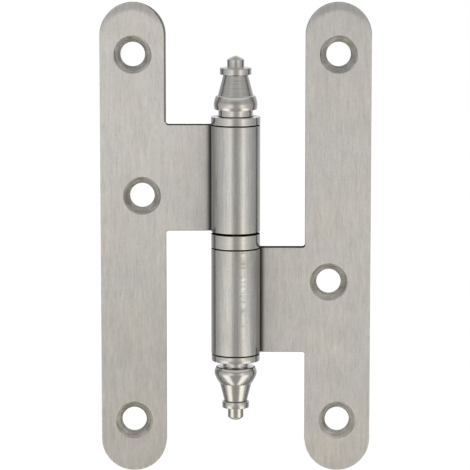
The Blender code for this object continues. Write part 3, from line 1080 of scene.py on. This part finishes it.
def tent_material(strength):
    """Glows with the tones of a studio: strip lights at both sides, a dark lens, and a light overhead."""
    material = bpy.data.materials.new("Light tent")
    material.use_nodes = True
    tree = material.node_tree
    tree.nodes.remove(tree.nodes["Principled BSDF"])
    place = add(tree, "ShaderNodeTexCoord")
    away = add(tree, "ShaderNodeVectorMath", operation="NORMALIZE")
    tree.links.new(place.outputs["Object"], away.inputs[0])
    x, y, z = split(tree, away.outputs[0])
    azimuth = maths(tree, "ARCTAN2", x, maths(tree, "MULTIPLY", y, -1.0))
    height = maths(tree, "ARCSINE", z)
    low = tone_ramp(tree, azimuth, LOW_TONES, 360)
    level = tone_ramp(tree, azimuth, LEVEL_TONES, 360)
    upper = tone_ramp(tree, azimuth, UPPER_TONES, 360)
    overhead = tone_ramp(tree, height, HEIGHT_TONES, 180)
    rise = eased(tree, height, *LOW_TO_LEVEL)
    sides = mixed(tree, rise, low["Color"], level["Color"])
    rise = eased(tree, height, *LEVEL_TO_UPPER)
    sides = mixed(tree, rise, sides, upper["Color"])
    everywhere = mixed(tree, overhead["Alpha"], sides, overhead["Color"])
    glow = add(tree, "ShaderNodeEmission", {"Strength": strength})
    tree.links.new(everywhere, glow.inputs["Color"])
    tree.links.new(glow.outputs[0], tree.nodes["Material Output"].inputs["Surface"])
    return material


def whitened(tree, dull, white, share_of_white, output):
    """Shows the camera, and what steel or glass shows of a background, this share of plain white."""
    path = add(tree, "ShaderNodeLightPath")
    seen = maths(tree, "MAXIMUM", path.outputs["Is Camera Ray"], path.outputs["Is Glossy Ray"])
    seen = maths(tree, "MAXIMUM", seen, path.outputs["Is Transmission Ray"])
    mix = add(tree, "ShaderNodeMixShader")
    tree.links.new(maths(tree, "MULTIPLY", seen, share_of_white), mix.inputs[0])
    tree.links.new(dull.outputs[0], mix.inputs[1])
    tree.links.new(white.outputs[0], mix.inputs[2])
    tree.links.new(mix.outputs[0], tree.nodes[output].inputs["Surface"])


class HINGE_OT_stage(bpy.types.Operator):
    """Set up the camera, the pale floor, the lamp, the white room and the light tent"""

    bl_idname = "hinge.stage"
    bl_label = "Stage"

    def execute(self, context):
        settings = context.scene.hinge_stage
        context.scene.view_settings.view_transform = "Standard"
        self.camera(context, settings)
        self.floor(settings)
        self.room(context, settings)
        self.lamp(context, settings)
        self.tent(settings)
        return {"FINISHED"}

    def camera(self, context, settings):
        data = bpy.data.cameras.new("camera")
        data.sensor_width = settings.sensor
        data.lens = settings.lens
        data.shift_x = settings.shift
        obj = bpy.data.objects.new("camera", data)
        away = Vector((0, -math.cos(settings.pitch), math.sin(settings.pitch)))
        obj.location = Vector((0, 0, settings.target_height)) + away * settings.distance
        obj.rotation_euler = (math.pi / 2 - settings.pitch, 0, 0)
        context.scene.collection.objects.link(obj)
        context.scene.camera = obj

    def floor(self, settings):
        bm = bmesh.new()
        bmesh.ops.create_grid(bm, x_segments=1, y_segments=1, size=settings.floor_reach)
        bmesh.ops.translate(bm, verts=bm.verts, vec=(0, 0, -settings.tent_radius - settings.floor_gap))
        material = bpy.data.materials.new("Pale floor")
        material.use_nodes = True
        tree = material.node_tree
        shader = tree.nodes["Principled BSDF"]
        finish = {"Base Color": (*settings.floor_colour, 1.0), "Roughness": settings.floor_roughness}
        set_inputs(shader, finish)
        white = add(tree, "ShaderNodeEmission")
        whitened(tree, shader, white, settings.floor_white, "Material Output")
        obj = loose_object(bm, "floor")
        obj.data.materials.append(material)

    def room(self, context, settings):
        """A white room, a little softer on dull surfaces."""
        world = bpy.data.worlds.new("studio")
        world.use_nodes = True
        context.scene.world = world
        tree = world.node_tree
        dull = tree.nodes["Background"]
        set_inputs(dull, {"Color": (1.0, 1.0, 1.0, 1.0), "Strength": settings.room_light})
        white = add(tree, "ShaderNodeBackground", {"Color": (1.0, 1.0, 1.0, 1.0)})
        whitened(tree, dull, white, 1.0, "World Output")

    def lamp(self, context, settings):
        """A broad soft light from above the camera's left, for the floor and its shadow."""
        data = bpy.data.lights.new("soft light", "SUN")
        data.energy = settings.lamp_light
        data.angle = settings.lamp_spread
        obj = bpy.data.objects.new("soft light", data)
        obj.rotation_euler = (settings.lamp_tip, settings.lamp_lean, 0)
        obj.visible_glossy = False
        context.scene.collection.objects.link(obj)

    def tent(self, settings):
        bm = bmesh.new()
        bmesh.ops.create_icosphere(bm, subdivisions=4, radius=settings.tent_radius)
        obj = loose_object(bm, "light_tent")
        obj.data.materials.append(tent_material(settings.tent_light))
        obj.visible_camera = False
        obj.visible_diffuse = False
        obj.visible_shadow = False


class HINGE_PT_steps(bpy.types.Panel):
    """The steps that dress the hinge"""

    bl_label = "Hinge"
    bl_idname = "HINGE_PT_steps"
    bl_space_type = "VIEW_3D"
    bl_region_type = "UI"
    bl_category = "Hinge"

    def draw(self, context):
        for operator in OPERATORS:
            self.layout.operator(operator.bl_idname)


OPERATORS = (HINGE_OT_leaves, HINGE_OT_core, HINGE_OT_finials, HINGE_OT_stage)
GROUPS = {
    "hinge_leaf": LeafSizes,
    "hinge_holes": HoleSizes,
    "hinge_core": CoreSizes,
    "hinge_upper_finial": UpperFinial,
    "hinge_lower_finial": LowerFinial,
    "hinge_finishes": Finishes,
    "hinge_stage": StageSettings,
}


def register():
    for cls in (*GROUPS.values(), *OPERATORS, HINGE_PT_steps):
        bpy.utils.register_class(cls)
    for name, cls in GROUPS.items():
        setattr(bpy.types.Scene, name, bpy.props.PointerProperty(type=cls))


def unregister():
    for name in GROUPS:
        delattr(bpy.types.Scene, name)
    for cls in (HINGE_PT_steps, *reversed(OPERATORS), *reversed(GROUPS.values())):
        bpy.utils.unregister_class(cls)


def main():
    register()
    bpy.ops.hinge.leaves()
    bpy.ops.hinge.core()
    bpy.ops.hinge.finials()
    bpy.ops.hinge.stage()


if __name__ == "__main__":
    main()
